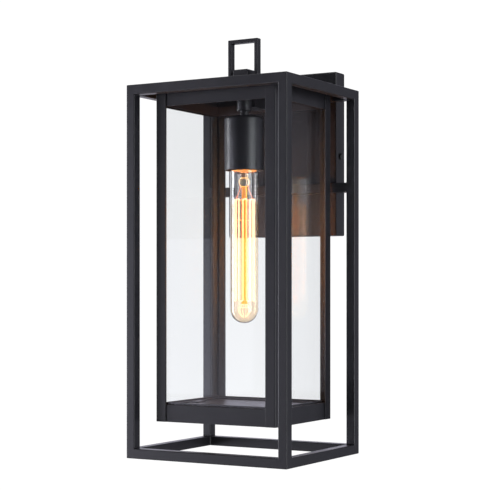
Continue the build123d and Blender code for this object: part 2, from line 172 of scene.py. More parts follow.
def pane_glass():
    """Flat clear glass: it dims what is behind it a little and mirrors at a slant."""
    n = Nodes(bpy.data.materials.new("pane_glass"))
    clear = n.add("ShaderNodeBsdfTransparent")
    clear.inputs["Color"].default_value = (0.985, 0.990, 0.994, 1)
    gloss = n.add("ShaderNodeBsdfGlossy")
    gloss.inputs["Color"].default_value = (1, 1, 1, 1)
    n.link(n.span(n.noise(30), 0.0, 0.004), gloss.inputs["Roughness"])
    n.link(n.bump(n.noise(14, 2.0), 0.02, 0.0001), gloss.inputs["Normal"])
    facing = n.add("ShaderNodeLayerWeight")
    facing.inputs["Blend"].default_value = 0.5
    slant = n.add("ShaderNodeMath", operation="POWER")
    slant.inputs[1].default_value = SCHLICK_POWER
    n.link(facing.outputs["Facing"], slant.inputs[0])
    mirror = n.add("ShaderNodeMath", operation="MULTIPLY_ADD")
    mirror.inputs[1].default_value = 1 - GLASS_FACING
    mirror.inputs[2].default_value = GLASS_FACING
    n.link(slant.outputs["Value"], mirror.inputs[0])
    mix = n.add("ShaderNodeMixShader")
    n.link(mirror.outputs["Value"], mix.inputs["Fac"])
    n.link(clear.outputs["BSDF"], mix.inputs[1])
    n.link(gloss.outputs["BSDF"], mix.inputs[2])
    n.link(mix.outputs["Shader"], n.output.inputs["Surface"])
    return n.owner


def blown_glass(name, tints, heights, rough, glow=None):
    """Clear glass that bends light and lets lamps through.

    Its tint changes between two heights, from the lower tint to the upper one, and it may have
    painted glow below them, which stands in for light from the filament.
    """
    n = Nodes(bpy.data.materials.new(name))
    glass = n.add("ShaderNodeBsdfPrincipled")
    height = n.add("ShaderNodeSeparateXYZ")
    n.link(n.where, height.inputs["Vector"])
    share = n.add("ShaderNodeMapRange", interpolation_type="SMOOTHSTEP")
    share.inputs["From Min"].default_value, share.inputs["From Max"].default_value = heights
    n.link(height.outputs["Z"], share.inputs["Value"])
    tint = n.ramp(share.outputs["Result"], tints)
    n.link(tint, glass.inputs["Base Color"])
    if glow:
        n.link(n.ramp(share.outputs["Result"], (glow, (0, 0, 0))), glass.inputs["Emission Color"])
        glass.inputs["Emission Strength"].default_value = 1.0
    glass.inputs["Transmission Weight"].default_value = 1.0
    glass.inputs["IOR"].default_value = GLASS_IOR
    n.link(n.span(n.noise(60), *rough), glass.inputs["Roughness"])
    n.link(n.bump(n.noise(90, 2.0, (1, 1, 0.15)), 0.03, 0.00004), glass.inputs["Normal"])
    clear = n.add("ShaderNodeBsdfTransparent")
    n.link(tint, clear.inputs["Color"])
    path = n.add("ShaderNodeLightPath")
    mix = n.add("ShaderNodeMixShader")
    n.link(path.outputs["Is Shadow Ray"], mix.inputs["Fac"])
    n.link(glass.outputs["BSDF"], mix.inputs[1])
    n.link(clear.outputs["BSDF"], mix.inputs[2])
    n.link(mix.outputs["Shader"], n.output.inputs["Surface"])
    return n.owner


def glowing(name, colours, glow, strength):
    """A glowing surface: the hot filament, or a part beside it whose glow is painted light standing in
    for the filament's light.
    """
    return surface(
        name,
        colours,
        rough=(0.3, 0.5),
        patch=200,
        grain=900,
        bump=(0.1, 0.0001),
        Emission_Color=(*glow, 1),
        Emission_Strength=strength,
    )


paint = surface(
    "powder_coat",
    colours=((0.0075, 0.0075, 0.0095), (0.0105, 0.0100, 0.0125)),
    rough=(0.34, 0.42),
    patch=26,
    grain=1500,
    bump=(0.08, 0.0001),
)
hardware = surface(
    "black_oxide",
    colours=((0.012, 0.012, 0.013), (0.022, 0.022, 0.023)),
    rough=(0.26, 0.40),
    patch=160,
    grain=2600,
    bump=(0.15, 0.0001),
)
zinc = surface(
    "zinc_steel",
    colours=((0.50, 0.50, 0.49), (0.66, 0.66, 0.64)),
    rough=(0.22, 0.42),
    patch=90,
    grain=900,
    bump=(0.12, 0.0001),
    stretch=(1, 6, 1),
    Metallic=1.0,
)
green = surface(
    "green_screw",
    colours=((0.02, 0.18, 0.05), (0.04, 0.30, 0.09)),
    rough=(0.25, 0.4),
    patch=300,
    grain=1500,
    bump=(0.1, 0.0001),
    Metallic=0.6,
)
foam = surface(
    "black_foam",
    colours=((0.010, 0.010, 0.010), (0.022, 0.022, 0.022)),
    rough=(0.85, 0.97),
    patch=500,
    grain=1800,
    bump=(0.6, 0.0004),
)
plastic = surface(
    "terminal_plastic",
    colours=((0.72, 0.71, 0.66), (0.80, 0.79, 0.75)),
    rough=(0.35, 0.5),
    patch=120,
    grain=1200,
    bump=(0.1, 0.0001),
)
porcelain = surface(
    "porcelain",
    colours=((0.80, 0.79, 0.74), (0.88, 0.87, 0.83)),
    rough=(0.08, 0.18),
    patch=70,
    grain=300,
    bump=(0.1, 0.0003),
    Coat_Weight=0.5,
)
brass = surface(
    "brass",
    colours=((0.66, 0.47, 0.20), (0.80, 0.60, 0.29)),
    rough=(0.2, 0.36),
    patch=120,
    grain=900,
    bump=(0.1, 0.0001),
    stretch=(1, 1, 8),
    Metallic=1.0,
)
leads_rubber = surface(
    "lead_insulation",
    colours=((0.66, 0.65, 0.60), (0.76, 0.75, 0.70)),
    rough=(0.4, 0.55),
    patch=200,
    grain=1600,
    bump=(0.2, 0.0001),
)
vitrite = surface(
    "vitrite",
    colours=((0.02, 0.02, 0.024), (0.035, 0.035, 0.04)),
    rough=(0.1, 0.2),
    patch=200,
    grain=900,
    bump=(0.1, 0.0001),
)
solder = surface(
    "solder",
    colours=((0.52, 0.52, 0.52), (0.64, 0.64, 0.64)),
    rough=(0.25, 0.45),
    patch=300,
    grain=900,
    bump=(0.3, 0.0003),
    Metallic=1.0,
)
pane = pane_glass()
# Painted light: the lower glass, round the filament, is tinted warm to stand in for the filament's glow;
# the glass above is clear.
lamp_glass = blown_glass(
    "lamp_glass",
    tints=((1.0, 0.90, 0.77), (1.0, 1.0, 1.0)),
    heights=(-0.064, -0.044),
    rough=(0.0, 0.012),
)
# Painted light: the rod's deep orange tint and glow, and the warm tint above them, stand in for the
# filament's light on clear glass.
stem_glass_painted_glow = blown_glass(
    "stem_glass_painted_glow",
    tints=((1.0, 0.58, 0.14), (1.0, 0.88, 0.66)),
    heights=(-0.042, -0.036),
    rough=(0.01, 0.04),
    glow=(0.36, 0.13, 0.008),
)
hot = glowing(
    "hot_filament",
    colours=((0.9, 0.5, 0.2), (1.0, 0.6, 0.3)),
    glow=(1.0, 0.80, 0.62),
    strength=1.7,
)
shield_metal = surface(
    "heat_shield",
    colours=((0.30, 0.19, 0.06), (0.38, 0.24, 0.08)),
    rough=(0.4, 0.6),
    patch=160,
    grain=900,
    bump=(0.1, 0.0001),
    Metallic=0.3,
)
# Painted light: the spider wires, leads, press rim and hooks glow though they are no lamp; their glow
# stands in for light from the filament.
wire_painted_glow = glowing(
    "lit_wire",
    colours=((0.6, 0.36, 0.2), (0.7, 0.45, 0.26)),
    glow=(1.0, 0.30, 0.06),
    strength=0.35,
)
lead_painted_glow = glowing(
    "lit_lead",
    colours=((0.6, 0.2, 0.1), (0.7, 0.3, 0.16)),
    glow=(1.0, 0.16, 0.03),
    strength=0.8,
)
press_painted_glow = glowing(
    "lit_press",
    colours=((0.8, 0.6, 0.2), (0.9, 0.7, 0.3)),
    glow=(1.0, 0.52, 0.10),
    strength=0.75,
)
hook_painted_glow = glowing(
    "lit_hook",
    colours=((0.9, 0.7, 0.5), (1.0, 0.8, 0.6)),
    glow=(1.0, 0.72, 0.42),
    strength=1.2,
)

# The record's material slots.
SLOT_MATERIALS = {
    "black_powder_coat": paint,
    "black_hardware": hardware,
    "zinc_steel": zinc,
    "green_screw": green,
    "black_foam": foam,
    "clear_glass": pane,
    "terminal_plastic": plastic,
    "porcelain": porcelain,
    "brass": brass,
    "lead_insulation": leads_rubber,
    "lamp_cap": brass,
    "vitrite": vitrite,
    "solder": solder,
    "lamp_glass": lamp_glass,
    "lamp_wire": wire_painted_glow,
    "filament": hot,
}
for subpart in frame["record"]["subparts"]:
    node = frame["nodes"][subpart["node"]]
    node.data.materials.clear()
    node.data.materials.append(SLOT_MATERIALS[subpart["material_slot"]])


# ---- helpers ----
def placed(name, data):
    """An object of the scene that shows this mesh, curve, light or camera."""
    obj = bpy.data.objects.new(name, data)
    bpy.context.scene.collection.objects.link(obj)
    return obj


def mesh_of(name, bm):
    """A mesh made from a bmesh, which it uses up."""
    mesh = bpy.data.meshes.new(name)
    bm.to_mesh(mesh)
    bm.free()
    return mesh


def baked(obj):
    """The mesh of an object with its modifiers or its curve worked out."""
    bpy.context.view_layer.update()
    return bpy.data.meshes.new_from_object(obj.evaluated_get(bpy.context.evaluated_depsgraph_get()))


def middle(node):
    """The centre of a CAD node's box."""
    low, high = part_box(node)
    return (low + high) / 2


def levels_of(node):
    """The heights of a CAD node's foot and top."""
    return [corner.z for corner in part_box(node)]


def piece(name, bm, slot, body="lantern", replaces=(), material=None):
    """Puts a mesh in the scene as a piece on a body, in place of CAD nodes."""
    bmesh.ops.recalc_face_normals(bm, faces=bm.faces)
    mesh = mesh_of(name, bm)
    mesh.materials.append(material or SLOT_MATERIALS[slot])
    obj = placed(name, mesh)
    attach(obj, body)
    if replaces:
        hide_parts(*replaces)
    return obj


def rounded(obj, width, segments=2):
    """Rounds a piece's sharp edges and shades it smoothly."""
    obj.data.polygons.foreach_set("use_smooth", [True] * len(obj.data.polygons))
    bevel = obj.modifiers.new("edges", "BEVEL")
    bevel.width = width
    bevel.segments = segments
    bevel.limit_method = "ANGLE"
    bevel.angle_limit = math.radians(40)
    bevel.harden_normals = True


def smooth_by_angle(obj, angle=35):
    """Shades a piece smoothly, with its sharp edges kept."""
    bm = bmesh.new()
    bm.from_mesh(obj.data)
    for face in bm.faces:
        face.smooth = True
    for edge in bm.edges:
        edge.smooth = len(edge.link_faces) == 2 and edge.calc_face_angle(0.0) < math.radians(angle)
    bm.to_mesh(obj.data)
    bm.free()


def cells(xs, ys, zs, solid):
    """The closed skin of the solid cells of an uneven grid."""
    bm = bmesh.new()
    made = {}
    counts = (len(xs) - 1, len(ys) - 1, len(zs) - 1)

    def corner(i, j, k):
        if (i, j, k) not in made:
            made[i, j, k] = bm.verts.new((xs[i], ys[j], zs[k]))
        return made[i, j, k]

    def filled(place):
        return all(0 <= c < n for c, n in zip(place, counts)) and solid(*place)

    places = [(i, j, k) for i in range(counts[0]) for j in range(counts[1]) for k in range(counts[2])]
    for place in filter(filled, places):
        for axis in range(3):
            for step in (0, 1):
                beside = list(place)
                beside[axis] += 1 if step else -1
                if filled(tuple(beside)):
                    continue
                loop = []
                for u, v in ((0, 0), (1, 0), (1, 1), (0, 1)):
                    at = list(place)
                    at[axis] += step
                    at[(axis + 1) % 3] += u
                    at[(axis + 2) % 3] += v
                    loop.append(corner(*at))
                bm.faces.new(loop if step else loop[::-1])
    bmesh.ops.dissolve_limit(bm, angle_limit=0.01, verts=bm.verts, edges=bm.edges)
    return bm


def cuboid(x0, x1, y0, y1, z0, z1):
    """A closed box between these planes."""
    return cells(sorted((x0, x1)), sorted((y0, y1)), sorted((z0, z1)), lambda i, j, k: True)


def steps_in(half, *inwards):
    """Grid lines from -half to half, with a line at each distance in from both ends."""
    lines = [half] + [half - inward for inward in inwards]
    return [-line for line in lines] + lines[::-1]


def about_axis(lines):
    """Grid lines about the lantern's axis, in Y."""
    return [AXIS_Y + line for line in lines]


def bands(half_x, half_y, thick, *levels):
    """Rectangular bands about the lantern's axis, between the 1st and 2nd levels, the 3rd and 4th."""
    xs, ys = steps_in(half_x, thick), about_axis(steps_in(half_y, thick))
    return cells(xs, ys, levels, lambda i, j, k: (i, j) != (1, 1) and k % 2 == 0)


def carve(obj, *cutters):
    """Cuts other meshes out of a piece."""
    tools = []
    for bm in cutters:
        bmesh.ops.recalc_face_normals(bm, faces=bm.faces)
        tool = placed("cutter", mesh_of("cutter", bm))
        tools.append(tool)
        cut = obj.modifiers.new("cut", "BOOLEAN")
        cut.operation = "DIFFERENCE"
        cut.solver = "EXACT"
        cut.object = tool
    done = baked(obj)
    obj.modifiers.clear()
    obj.data = done
    for tool in tools:
        bpy.data.objects.remove(tool)


def drum(radius, low, high):
    """A cylinder between two points."""
    bm = bmesh.new()
    low, high = Vector(low), Vector(high)
    along = high - low
    turn = along.to_track_quat("Z", "Y").to_matrix().to_4x4()
    at = Matrix.Translation((low + high) / 2) @ turn
    bmesh.ops.create_cone(
        bm,
        cap_ends=True,
        segments=48,
        radius1=radius,
        radius2=radius,
        depth=along.length,
        matrix=at,
    )
    return bm


def turned(outline, steps=96, centre=(0, AXIS_Y), closed=False):
    """A mesh turned about an upright line, from (radius, z) points; ends on the line close it."""
    bm = bmesh.new()
    rings = []
    for radius, z in outline:
        if radius == 0:
            rings.append([bm.verts.new((centre[0], centre[1], z))])
            continue
        ring = []
        for step in range(steps):
            a = 2 * math.pi * step / steps
            x, y = centre[0] + radius * math.cos(a), centre[1] + radius * math.sin(a)
            ring.append(bm.verts.new((x, y, z)))
        rings.append(ring)
    pairs = list(zip(rings, rings[1:]))
    if closed:
        pairs.append((rings[-1], rings[0]))
    for one, two in pairs:
        for step in range(steps):
            after = (step + 1) % steps
            if len(one) == 1:
                bm.faces.new((one[0], two[step], two[after]))
            elif len(two) == 1:
                bm.faces.new((one[step], one[after], two[0]))
            else:
                bm.faces.new((one[step], one[after], two[after], two[step]))
    return bm


def arc(centre_r, centre_z, radius, start, stop, count=8):
    """Points of an arc in the (radius, z) plane, by angles in degrees from the outward direction."""
    points = []
    for i in range(count + 1):
        a = math.radians(start + (stop - start) * i / count)
        points.append((centre_r + radius * math.cos(a), centre_z + radius * math.sin(a)))
    return points


def wire(name, runs, radius, slot, body, replaces=(), material=None, smooth=True):
    """Round wires along runs of points, as one piece."""
    curve = bpy.data.curves.new(name, "CURVE")
    curve.dimensions = "3D"
    curve.bevel_depth = radius
    curve.bevel_resolution = 3
    curve.use_fill_caps = True
    curve.resolution_u = 6
    for run in runs:
        spline = curve.splines.new("NURBS" if smooth else "POLY")
        spline.points.add(len(run) - 1)
        for point, co in zip(spline.points, run):
            point.co = (*co, 1)
        if smooth:
            spline.order_u = 3
            spline.use_endpoint_u = True
    holder = placed(name + "_curve", curve)
    mesh = baked(holder)
    bpy.data.objects.remove(holder)
    bm = bmesh.new()
    bm.from_mesh(mesh)
    bmesh.ops.remove_doubles(bm, verts=bm.verts, dist=SAME_PLACE)
    bpy.data.meshes.remove(mesh)
    smooth_by_angle(piece(name, bm, slot, body, replaces, material), angle=50)


# ---- outer frame: one welded and coated lattice of bars ----
def outer_frame():
    """The four posts, the rails between their ends, and the crossbar behind."""
    low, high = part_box("post_front_left")
    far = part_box("post_rear_right")[1]
    bar_x, bar_y = high.x - low.x, high.y - low.y
    xs = (low.x, high.x, far.x - bar_x, far.x)
    ys = (low.y, high.y, far.y - bar_y, far.y)
    levels = levels_of("bottom_rail_front") + levels_of("rear_crossbar") + levels_of("top_rail_front")

    def solid(i, j, k):
        edge_x, edge_y = i in (0, 2), j in (0, 2)
        if edge_x and edge_y:
            return True
        if k in (0, 4):
            return edge_x or edge_y
        return k == 2 and j == 2

    bar_names = ("post_", "top_rail", "bottom_rail", "rear_crossbar")
    bars = [node for node in frame["nodes"] if node.startswith(bar_names)]
    lattice = cells(xs, ys, levels, solid)
    frame_bars = piece("frame_bars", lattice, "black_powder_coat", replaces=sorted(bars))
    rounded(frame_bars, width=0.0009, segments=3)


# ---- wall plate ----
def wall_plate():
    """A pan that is open to the wall, with holes for the wires and the side screws."""
    low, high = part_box("wall_plate")
    wall, bend, screw_hole = 0.0015, 0.0016, 0.0022
    bm = cuboid(low.x, high.x, low.y, high.y, low.z, high.z)
    front = [e for e in bm.edges if all(v.co.y < low.y / 2 for v in e.verts)]
    sides = [e for e in bm.edges if abs(e.verts[0].co.y - e.verts[1].co.y) > bend]
    bmesh.ops.bevel(bm, geom=front + sides, offset=bend, segments=5, profile=0.5, affect="EDGES")
    obj = piece("plate_pan", bm, "black_powder_coat", replaces=["wall_plate"])
    wire_z = middle("wire_tube").z
    inside = (low.x + wall, high.x - wall, low.y + wall, high.y + PAST, low.z + wall, high.z - wall)
    cuts = [cuboid(*inside)]
    cuts.append(drum(WIRE_HOLE_RADIUS, (0, low.y - PAST, wire_z), (0, low.y + wall + PAST, wire_z)))
    for side in ("left", "right"):
        screw_low, screw_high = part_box(f"side_screw_{side}")
        y, z = middle(f"side_screw_{side}").yz
        cuts.append(drum(screw_hole, (screw_low.x - PAST, y, z), (screw_high.x + PAST, y, z)))
    carve(obj, *cuts)
    rounded(obj, width=0.00025)


# ---- glazed box ----
def corner_angles():
    """Bent angles that stand at the corners of the glazed box."""
    bend = 0.0010
    for name, sx, sy in CORNERS:
        low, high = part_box(f"corner_angle_{name}")
        x, y = (high.x if sx > 0 else low.x), (high.y if sy > 0 else low.y)
        flange = high.x - low.x
        xs = sorted((x, x - sx * SHEET, x - sx * flange))
        ys = sorted((y, y - sy * SHEET, y - sy * flange))
        hollow = (0 if sx > 0 else 1, 0 if sy > 0 else 1)
        bm = cells(xs, ys, (low.z, high.z), lambda i, j, k, h=hollow: (i, j) != h)
        outer = [e for e in bm.edges if all(math.dist(v.co[:2], (x, y)) < NEARLY for v in e.verts)]
        bmesh.ops.bevel(bm, geom=outer, offset=bend, segments=5, profile=0.5, affect="EDGES")
        angle = piece(f"angle_{name}", bm, "black_powder_coat", replaces=[f"corner_angle_{name}"])
        rounded(angle, width=0.00032)


def screw_holes(radius, top):
    """Cutters for the two thumb screws' holes, in a plate whose upper face is at this height."""
    depth = 0.004
    holes = []
    for side in ("left", "right"):
        x = middle(f"thumb_screw_{side}").x
        holes.append(drum(radius, (x, AXIS_Y, top - depth), (x, AXIS_Y, top + PAST)))
    return holes


def skirts():
    """The bands round the top and the foot of the glazed box; the lower one carries the floor."""
    low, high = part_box("top_skirt")
    band = bands(high.x, high.y - AXIS_Y, SHEET, low.z, high.z)
    top = piece("skirt_top", band, "black_powder_coat", replaces=["top_skirt"])
    wire_z = middle("wire_tube").z
    ends = (0, high.y - SHEET - PAST, wire_z), (0, high.y + PAST, wire_z)
    carve(top, drum(WIRE_HOLE_RADIUS, *ends))
    rounded(top, width=0.0003)

    low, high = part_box("bottom_skirt")
    half_x, half_y = high.x, high.y - AXIS_Y
    flange, tab_x, tab_y, tapped_hole = 0.0092, 0.053, 0.008, 0.002
    xs = steps_in(half_x, SHEET, flange, half_x - tab_x)
    ys = about_axis(steps_in(half_y, SHEET, flange, half_y - tab_y))

    def solid(i, j, k):
        if i in (0, 6) or j in (0, 6):
            return True
        return k == 1 and (i in (1, 5) or j in (1, 5) or (j == 3 and i != 3))

    bm = cells(xs, ys, (low.z, high.z - SHEET, high.z), solid)
    bottom = piece("skirt_bottom", bm, "black_powder_coat", replaces=["bottom_skirt"])
    carve(bottom, *screw_holes(tapped_hole, high.z))
    rounded(bottom, width=0.0003)


def glazing():
    """The four panes, with their edges eased, and the two retaining rings."""
    for side in ("front", "rear", "left", "right"):
        low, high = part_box(f"glass_{side}")
        slab = cuboid(low.x, high.x, low.y, high.y, low.z, high.z)
        sheet = piece(f"pane_{side}", slab, "clear_glass", replaces=[f"glass_{side}"])
        rounded(sheet, width=0.0004)
    wall, lower, upper = 0.001, 0.002, 0.010
    low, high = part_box("glass_retainers")
    bm = bands(high.x, high.y - AXIS_Y, wall, low.z, low.z + lower, high.z - upper, high.z)
    rings = piece("pane_rings", bm, "black_powder_coat", replaces=["glass_retainers"])
    rounded(rings, width=0.00025)


def floor_plate():
    """The drop-out floor, with its edges turned down."""
    clear_hole = 0.0022
    low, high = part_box("floor_panel")
    xs, ys = steps_in(high.x, SHEET), about_axis(steps_in(high.y - AXIS_Y, SHEET))
    bm = cells(xs, ys, (low.z, high.z - SHEET, high.z), lambda i, j, k: (i, j) != (1, 1) or k == 1)
    floor = piece("floor_plate", bm, "black_powder_coat", "floor_panel", ["floor_panel"])
    carve(floor, *screw_holes(clear_hole, high.z))
    rounded(floor, width=0.0003)


def thumb_screws():
    """Knurled heads with a coin slot, on plain shanks."""
    height, shank, ease, groove = 0.008, 0.00195, 0.0006, 0.0004
    steps, steps_per_tooth = 96, 4
    for side in ("left", "right"):
        node = f"thumb_screw_{side}"
        low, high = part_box(node)
        centre, radius = (low.x + high.x) / 2, (high.x - low.x) / 2
        foot, top = low.z, low.z + height
        outline = [(0, foot), (radius - ease, foot), (radius, foot + ease), (radius, top - ease)]
        outline += [(radius - ease, top), (shank, top), (shank, high.z - ease)]
        outline += [(shank - ease / 2, high.z), (0, high.z)]
        bm = turned(outline, steps, (centre, AXIS_Y))
        for v in bm.verts:
            away = Vector((v.co.x - centre, v.co.y - AXIS_Y, 0))
            step = round(math.atan2(away.y, away.x) / (2 * math.pi) * steps)
            notch = step % steps_per_tooth >= steps_per_tooth / 2
            if notch and away.length > radius - ease / 2:
                v.co -= away.normalized() * groove
        screw = piece(f"knurled_screw_{side}", bm, "black_hardware", node, [node])
        slot_x, slot_y, slot_z = 0.0008, radius + PAST, 0.0014
        across = (centre - slot_x, centre + slot_x, AXIS_Y - slot_y, AXIS_Y + slot_y)
        carve(screw, cuboid(*across, foot - PAST, foot + slot_z))
        smooth_by_angle(screw, angle=30)


outer_frame()
wall_plate()
corner_angles()
skirts()
glazing()
floor_plate()
thumb_screws()


# ---- lampholder cup and stem ----
NIPPLE_RADIUS = 0.0048


def lampholder():
    """The open-mouthed cup, and the sleeve on the stem above it."""
    low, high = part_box("socket_cup")
    radius, wall, top, foot, bend = high.x, SHEET, high.z, low.z, 0.003
    ceiling = top - wall
    lip = wall / 2
    outline = arc(radius - lip, foot + lip, lip, -180, 0)
    outline += arc(radius - bend, top - bend, bend, 0, 90)
    outline += [(NIPPLE_RADIUS, top), (NIPPLE_RADIUS, ceiling)]
    outline += arc(radius - bend, top - bend, bend - wall, 90, 0)
    shell = turned(outline, 128, closed=True)
    smooth_by_angle(piece("cup_shell", shell, "black_powder_coat", replaces=["socket_cup"]))
    low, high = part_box("stem_collar")
    stem, foot, roof, wall, depth, ease = high.x, low.z, high.z, 0.0015, 0.004, 0.0006
    outline = [(NIPPLE_RADIUS, foot)] + arc(stem - ease, foot + ease, ease, -90, 0, 4)
    outline += [(stem, roof), (stem - wall, roof)]
    outline += [(stem - wall, foot + depth), (NIPPLE_RADIUS, foot + depth)]
    sleeve = turned(outline, closed=True)
    smooth_by_angle(piece("stem_sleeve", sleeve, "black_powder_coat", replaces=["stem_collar"]))


lampholder()


# ---- tubular lamp ----
LAMP_TIP, LAMP_TOP = levels_of("bulb_glass")
LAMP_RADIUS, LAMP_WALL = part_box("bulb_glass")[1].x, 0.0008
NECK_RADIUS = 0.0122
STRANDS, STRAND_RADIUS = 16, 0.00035
CAGE_FOOT, CAGE_TOP = levels_of("bulb_filament")
CAGE_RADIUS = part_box("bulb_filament")[1].x - STRAND_RADIUS
ROD_RADIUS, ROD_FOOT = 0.0029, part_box("bulb_stem")[0].z
SPIDERS = 6
# The press is a flattened swelling of the stem, turned by degrees from the X axis.
PRESS_Z, PRESS_TURN = -0.0339, 30


def lamp_envelope():
    """Round-ended clear tube, drawn in at the neck."""
    shoulder, neck_z = -0.019, -0.009
    straight, slope = 30, 10
    centre_z = LAMP_TIP + LAMP_RADIUS

    def outline(shrink):
        radius = LAMP_RADIUS - shrink
        points = arc(0, centre_z, radius, -90, 0, 24)
        points[0] = (0, points[0][1])
        points += [(radius, centre_z + (shoulder - centre_z) * i / straight) for i in range(1, straight)]
        for i in range(slope + 1):
            t = i / slope
            pinch = (NECK_RADIUS - LAMP_RADIUS) * t * t * (3 - 2 * t)
            points.append((radius + pinch, shoulder + (neck_z - shoulder) * t))
        return points + [(NECK_RADIUS - shrink, LAMP_TOP)]

    shell = turned(outline(0) + outline(LAMP_WALL)[::-1], 128)
    smooth_by_angle(piece("lamp_envelope", shell, "lamp_glass", "lamp", ["bulb_glass"]), angle=50)


def lamp_cap():
    """Brass cap with a rolled thread, which fades out at both ends."""
    low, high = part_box("bulb_cap")
    radius, inner, crown = high.x, 0.01225, 0.0010
    pitch, depth, lead_out, least, step = 0.00363, 0.0007, 0.0022, 0.3, 0.00045
    mouth, mouth_depth, ceiling_depth = 0.006, 0.0007, 0.0016
    rise = high.z - crown - low.z
    count = round(rise / step)
    outline = [(radius, low.z + rise * i / count) for i in range(count + 1)]
    outline += arc(radius - crown, high.z - crown, crown, 15, 90, 5)
    outline += [(mouth, high.z), (mouth, high.z - mouth_depth)]
    outline += [(inner, high.z - ceiling_depth), (inner, low.z)]
    bm = turned(outline, closed=True)
    for v in bm.verts:
        away = Vector((v.co.x, v.co.y - AXIS_Y, 0))
        if away.length < radius - NEARLY:
            continue
        turn = math.atan2(away.y, away.x) / (2 * math.pi)
        fade = min(1.0, (v.co.z - low.z) / lead_out, (high.z - crown - v.co.z) / lead_out + least)
        wave = 0.5 - 0.5 * math.cos(2 * math.pi * ((v.co.z - low.z) / pitch - turn))
        v.co -= away.normalized() * depth * wave * max(0.0, fade)
    smooth_by_angle(piece("threaded_cap", bm, "lamp_cap", "lamp", ["bulb_cap"]), angle=50)


def lamp_stem():
    """Glass flare, flattened press and solid rod, with the button at its foot."""
    press_radius, press_half, flattening = 0.0059, 0.0062, 0.4
    rod_top, rod_foot, rod_steps = -0.0400, CAGE_FOOT - 0.0008, 12
    button, button_ease, button_foot = 0.0031, 0.0006, 0.0026
    flare = [(0, 0.0016), (0.0109, 0.0016), (0.0112, 0.0009), (0.0100, -0.0012), (0.0062, -0.0062)]
    tube = [(0.0047, -0.0105), (0.0042, -0.018), (0.0040, -0.0275), (0.0043, -0.0295), (0.0052, -0.0313)]
    press = arc(0, PRESS_Z, press_radius, 26, -30)
    waist = [(0.0041, -0.0384), (0.0032, -0.0392)]
    fall = (rod_foot - rod_top) / rod_steps
    rod = [(ROD_RADIUS, rod_top + fall * i) for i in range(rod_steps + 1)]
    foot = [(button, rod_foot - button_ease), (button, ROD_FOOT + button_ease)]
    foot += [(button_foot, ROD_FOOT), (0, ROD_FOOT)]
    bm = turned(flare + tube + press + waist + rod + foot, 64)
    for v in bm.verts:
        pressed = max(0.0, 1 - abs(v.co.z - PRESS_Z) / press_half)
        squeeze = 1 - flattening * math.sin(pressed * math.pi / 2)
        v.co.y = AXIS_Y + (v.co.y - AXIS_Y) * squeeze
    turn = Matrix.Rotation(math.radians(PRESS_TURN), 3, "Z")
    bmesh.ops.rotate(bm, cent=(0, AXIS_Y, 0), matrix=turn, verts=bm.verts)
    smooth_by_angle(piece("lamp_stem", bm, "lamp_glass", "lamp", ["bulb_stem"], stem_glass_painted_glow), angle=60)


def lamp_shield():
    """Thin plate at the cup's mouth that keeps the cage's heat from the cap."""
    radius, hole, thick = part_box("bulb_stem")[1].x, 0.0045, 0.0006
    ease = thick / 2
    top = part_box("socket_cup")[0].z + ease
    outline = arc(radius - ease, top - ease, ease, -90, 90) + [(hole, top), (hole, top - thick)]
    plate = turned(outline, closed=True)
    smooth_by_angle(piece("lamp_shield", plate, "lamp_wire", "lamp", (), shield_metal), angle=50)


def around(radius, turn, z):
    """The point at a radius and an angle in degrees about the lamp's axis."""
    a = math.radians(turn)
    return (radius * math.cos(a), AXIS_Y + radius * math.sin(a), z)


def loop_wire(radius, z):
    """A ring about the lamp's axis."""
    return [around(radius, 15 * i, z) for i in range(25)]


def lamp_filament():
    """Glowing strands that sag a little between the spiders, joined by bends at their ends."""
    pitch, path, sag, bend, steps = 360 / STRANDS, CAGE_RADIUS - 0.0001, 0.0002, 0.0010, 40
    runs = []
    for i in range(STRANDS):
        run = []
        for step in range(steps + 1):
            t = step / steps
            pull = sag * abs(math.sin((SPIDERS - 1) * math.pi * t))
            run.append(around(path - pull, pitch * i, CAGE_TOP + (CAGE_FOOT - CAGE_TOP) * t))
        runs.append(run)
    for i in range(STRANDS):
        end, way = (CAGE_TOP - bend, 1) if i % 2 else (CAGE_FOOT + bend, -1)
        run = []
        for t in (0, 0.25, 0.5, 0.75, 1):
            run.append(around(path, pitch * (i + t), end + way * bend * math.sin(math.pi * t)))
        runs.append(run)
    wire("lamp_filament", runs, STRAND_RADIUS - 0.00005, "filament", "lamp", ["bulb_filament"], hot)


def lamp_spiders():
    """Wires that reach from the rod to the strands, with a hub at each level."""
    low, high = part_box("bulb_support_wires")
    hub, reach, margin, thick = ROD_RADIUS + 0.0002, CAGE_RADIUS - 0.0004, 0.0005, 0.00016
    spokes = []
    for level in range(SPIDERS):
        z = high.z - margin + (low.z - high.z + 2 * margin) * level / (SPIDERS - 1)
        for i in range(STRANDS):
            spokes.append([around(hub, 360 * i / STRANDS, z), around(reach, 360 * i / STRANDS, z)])
        spokes.append(loop_wire(hub, z))
    nodes = ["bulb_support_wires"]
    wire("lamp_spiders", spokes, thick, "lamp_wire", "lamp", nodes, wire_painted_glow, smooth=False)


def lamp_leads():
    """The two leads from the press out and down to the top of the cage."""
    path = ((0.0040, -0.036), (0.0042, -0.040), (0.0062, -0.0455))
    leads = []
    for turn, end in ((205, 180), (25, 0)):
        lead = [around(radius, turn, z) for radius, z in path]
        leads.append(lead + [around(CAGE_RADIUS - 0.0002, end, CAGE_TOP)])
    wire("lamp_leads", leads, 0.00028, "lamp_wire", "lamp", (), lead_painted_glow)


def press_rim_painted_highlight():
    """A painted highlight: a glowing ring along the rim of the flattened press, standing in for the
    filament's light caught there.
    """
    turn, half_wide, half_tall = math.radians(PRESS_TURN), 0.0056, 0.0046
    seam = []
    for i in range(25):
        a = math.radians(15 * i)
        out, up = half_wide * math.cos(a), half_tall * math.sin(a)
        seam.append((out * math.cos(turn), AXIS_Y + out * math.sin(turn), PRESS_Z + up))
    wire("lamp_press_seam", [seam], 0.00045, "lamp_wire", "lamp", (), press_painted_glow)


